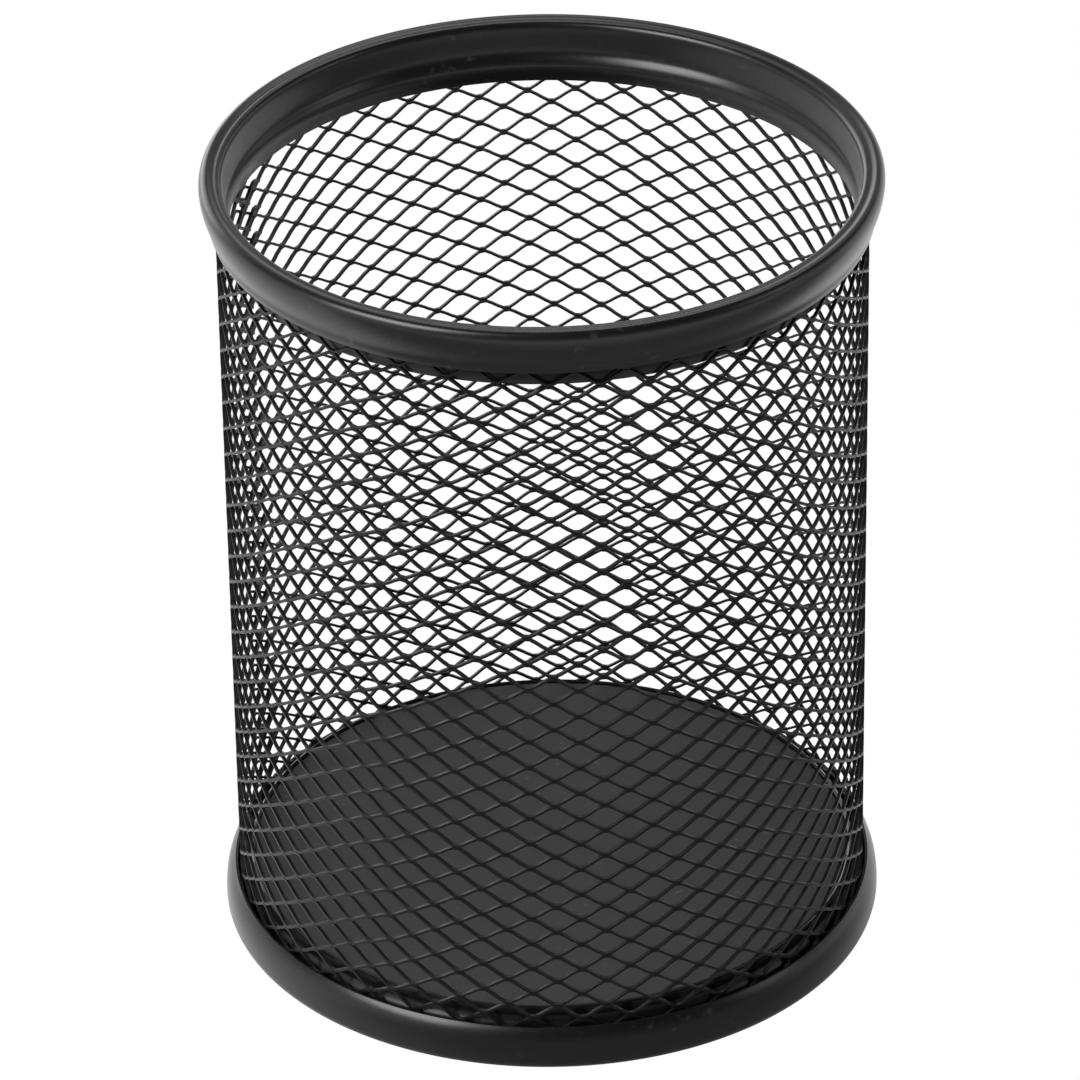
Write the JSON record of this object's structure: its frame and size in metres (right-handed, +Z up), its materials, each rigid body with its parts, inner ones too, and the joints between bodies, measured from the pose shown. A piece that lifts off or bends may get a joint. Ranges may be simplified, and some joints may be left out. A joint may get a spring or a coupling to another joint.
{
  "type": "mesh pen holder cup",
  "caption": "Open cylindrical desk cup with an expanded steel mesh wall, rolled rim and base rings and a solid floor.",
  "frame": {"origin": "centre of the underside, on the table plane", "axes": "+Z up along the cup's axis, -Y towards the front"},
  "size_m": [0.08, 0.08, 0.1],
  "materials": {
    "ring_coat": "satin black powder coat on rolled steel",
    "mesh_coat": "satin black powder coat on expanded steel",
    "floor_coat": "satin black powder coat on flat sheet",
    "weld_coat": "satin black powder coat over resistance welds"
  },
  "bodies": {
    "cup": {"rim_ring": "ring_coat", "mesh_wall": "mesh_coat", "base_ring": "ring_coat", "floor_plate": "floor_coat", "rim_welds": "weld_coat", "base_welds": "weld_coat", "floor_welds": "weld_coat", "seam_welds": "weld_coat"}
  },
  "joints": []
}
